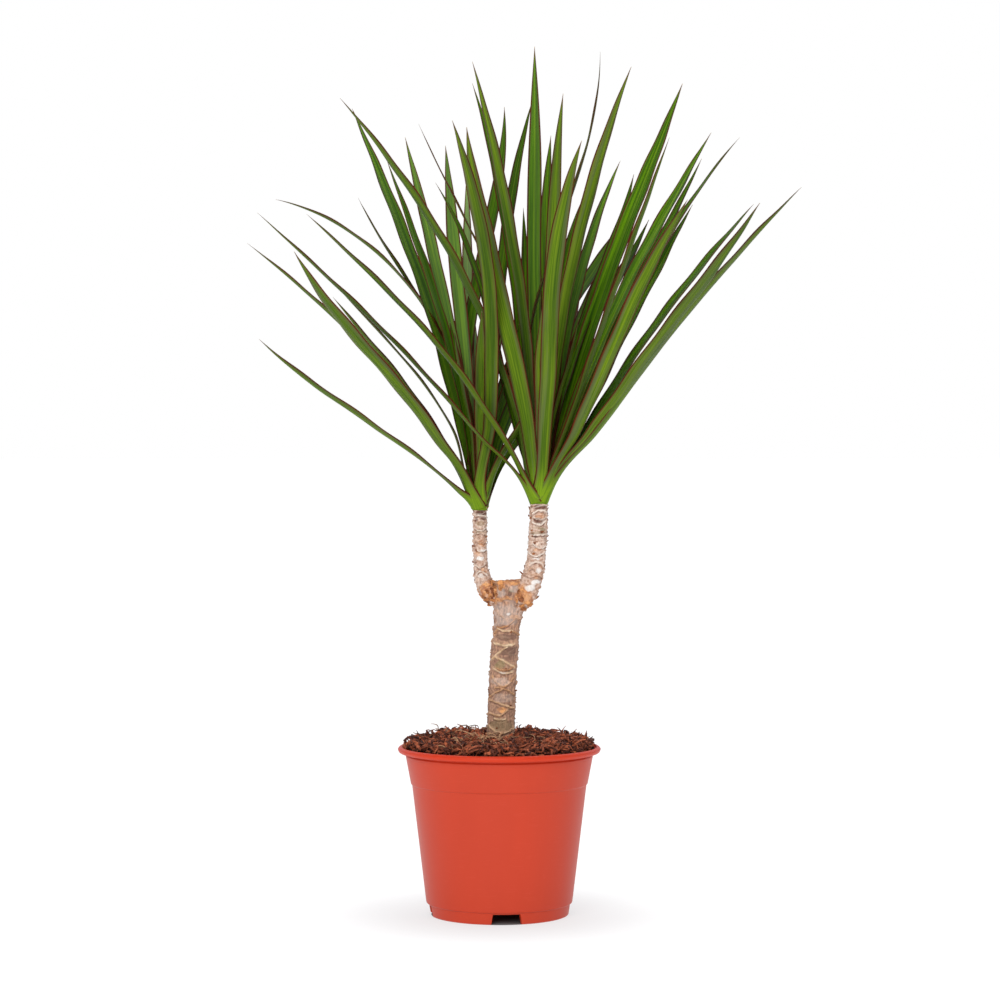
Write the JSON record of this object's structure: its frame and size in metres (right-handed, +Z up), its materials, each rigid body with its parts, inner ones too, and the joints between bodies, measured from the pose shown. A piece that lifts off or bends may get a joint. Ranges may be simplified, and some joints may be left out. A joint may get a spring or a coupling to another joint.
{
  "type": "potted dracaena marginata",
  "caption": "Potted dragon tree: a forked cane with two rosettes of narrow red-edged leaves, standing in a tapered plastic nursery pot of dark potting mix.",
  "frame": {"origin": "middle of the plant's outer box, on the surface that the pot stands on", "axes": "+Z up along the cane; -Y is the side the picture shows, with the single-leaf fans spreading to -X and +X"},
  "size_m": [0.3202, 0.3558, 0.5223],
  "materials": {
    "pot": "terracotta coloured injection moulded plastic, satin",
    "soil": "coarse dark coir and bark chips, matte",
    "bark": "grey brown bark with raised leaf scars, matte",
    "leaf": "smooth waxy leaf with a thin dark red margin, satin"
  },
  "bodies": {
    "root": {"pot": "pot", "soil": "soil", "trunk": "bark", "left_crown": "leaf", "right_crown": "leaf"}
  },
  "joints": []
}
